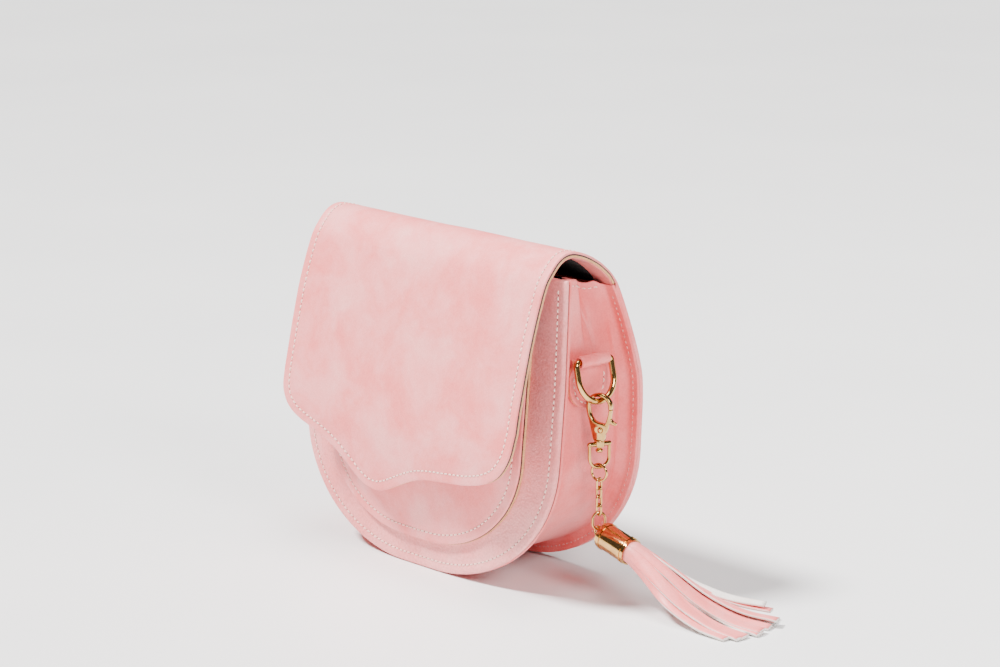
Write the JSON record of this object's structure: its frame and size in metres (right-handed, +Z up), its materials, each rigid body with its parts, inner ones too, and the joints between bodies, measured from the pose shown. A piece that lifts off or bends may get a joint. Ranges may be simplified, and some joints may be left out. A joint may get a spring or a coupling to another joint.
{
  "type": "crossbody saddle bag",
  "caption": "Small pink leather saddle bag with a lobed front flap, side D-rings and a tassel charm on a swivel clasp.",
  "frame": {"origin": "on the ground plane, under the middle of the bag body", "axes": "+Z up, -Y the front of the bag with the flap, +X its right side seen from the front, where the charm hangs"},
  "size_m": [0.2901, 0.0869, 0.1687],
  "materials": {
    "leather_smooth": "smooth faux leather with a cloudy pink colour",
    "leather_grain": "fine pebble grain faux leather, pink",
    "leather_gusset": "soft creased faux leather, pink",
    "leather_tassel": "thin soft leather, pink face and pale back",
    "core_board": "pressed fibre board with a tan raw edge",
    "lining": "thin dark woven lining",
    "lining_pink": "smooth pink lining",
    "gold": "polished pale gold plating",
    "steel": "plain plated steel"
  },
  "bodies": {
    "bag": {"front_panel_leather": "leather_grain", "front_board": "core_board", "front_lining": "lining", "overlay_leather": "leather_smooth", "overlay_board": "core_board", "gusset_leather": "leather_gusset", "gusset_lining": "lining", "back_panel_leather": "leather_grain", "back_board": "core_board", "back_lining": "lining", "tab_right": "leather_gusset", "tab_left": "leather_gusset", "snap_socket": "gold", "snap_socket_washer": "steel"},
    "flap_top": {"flap_top_leather": "leather_smooth", "flap_top_board": "core_board", "flap_top_lining": "lining_pink"},
    "flap_front": {"flap_front_leather": "leather_smooth", "flap_front_board": "core_board", "flap_front_lining": "lining_pink", "snap_stud": "gold", "snap_stud_washer": "steel"},
    "ring_right": {"d_ring_right": "gold"},
    "ring_left": {"d_ring_left": "gold"},
    "clasp": {"clasp_body": "gold", "clasp_pin": "gold"},
    "lever": {"clasp_lever": "gold"},
    "shackle": {"clasp_shackle": "gold"},
    "jump_ring": {"jump_ring": "gold"},
    "link_1": {"chain_link_1": "gold"},
    "link_2": {"chain_link_2": "gold"},
    "link_3": {"chain_link_3": "gold"},
    "link_4": {"chain_link_4": "gold"},
    "oval_ring": {"oval_ring": "gold"},
    "tassel": {"tassel_eye": "gold", "tassel_cap": "gold", "tassel_fringe": "leather_tassel"}
  },
  "joints": [
    {"name": "flap_hinge", "type": "hinge", "parent": "bag", "child": "flap_top", "pos_m": [0, 0.0253, 0.1495], "axis": [-1, 0, 0], "range_deg": [0, 180]},
    {"name": "flap_fold", "type": "hinge", "parent": "flap_top", "child": "flap_front", "pos_m": [0, -0.0146, 0.165], "axis": [-1, 0, 0], "range_deg": [0, 95]},
    {"name": "ring_right_swing", "type": "hinge", "parent": "bag", "child": "ring_right", "pos_m": [0.0914, 0.0044, 0.1158], "axis": [0, -1, 0], "range_deg": [0, 120]},
    {"name": "ring_left_swing", "type": "hinge", "parent": "bag", "child": "ring_left", "pos_m": [-0.0914, 0.0044, 0.1158], "axis": [0, 1, 0], "range_deg": [0, 120]},
    {"name": "clasp_swing", "type": "hinge", "parent": "ring_right", "child": "clasp", "pos_m": [0.09588, 0.0044, 0.09641], "axis": [0, -1, 0], "range_deg": [-4, 60]},
    {"name": "lever_press", "type": "hinge", "parent": "clasp", "child": "lever", "pos_m": [0.09672, 0.00471, 0.08256], "axis": [0.342, -0.9397, 0], "range_deg": [0, 22], "stiffness_Nm_per_rad": 0.02},
    {"name": "shackle_swivel", "type": "hinge", "parent": "clasp", "child": "shackle", "pos_m": [0.09588, 0.0044, 0.07536], "axis": [0, 0, 1], "range_deg": [-45, 80]},
    {"name": "jump_ring_swing", "type": "hinge", "parent": "shackle", "child": "jump_ring", "pos_m": [0.09588, 0.0044, 0.06376], "axis": [0.309, 0.9511, 0], "range_deg": [-25, 15]},
    {"name": "link_1_swing", "type": "hinge", "parent": "jump_ring", "child": "link_1", "pos_m": [0.09588, 0.0044, 0.05711], "axis": [0.9703, 0.2419, 0], "range_deg": [-25, 25]},
    {"name": "link_2_swing", "type": "hinge", "parent": "link_1", "child": "link_2", "pos_m": [0.09588, 0.0044, 0.0529], "axis": [0, 1, 0], "range_deg": [-25, 25]},
    {"name": "link_3_swing", "type": "hinge", "parent": "link_2", "child": "link_3", "pos_m": [0.09588, 0.0044, 0.04862], "axis": [-1, 0, 0], "range_deg": [-25, 25]},
    {"name": "link_4_swing", "type": "hinge", "parent": "link_3", "child": "link_4", "pos_m": [0.09588, 0.0044, 0.04434], "axis": [0, -1, 0], "range_deg": [-25, 25]},
    {"name": "oval_ring_swing", "type": "hinge", "parent": "link_4", "child": "oval_ring", "pos_m": [0.09588, 0.0044, 0.04006], "axis": [1, 0, 0], "range_deg": [-15, 15]},
    {"name": "tassel_swing", "type": "hinge", "parent": "oval_ring", "child": "tassel", "pos_m": [0.09588, 0.0044, 0.03306], "axis": [0, 1, 0], "range_deg": [-20, 70]}
  ]
}
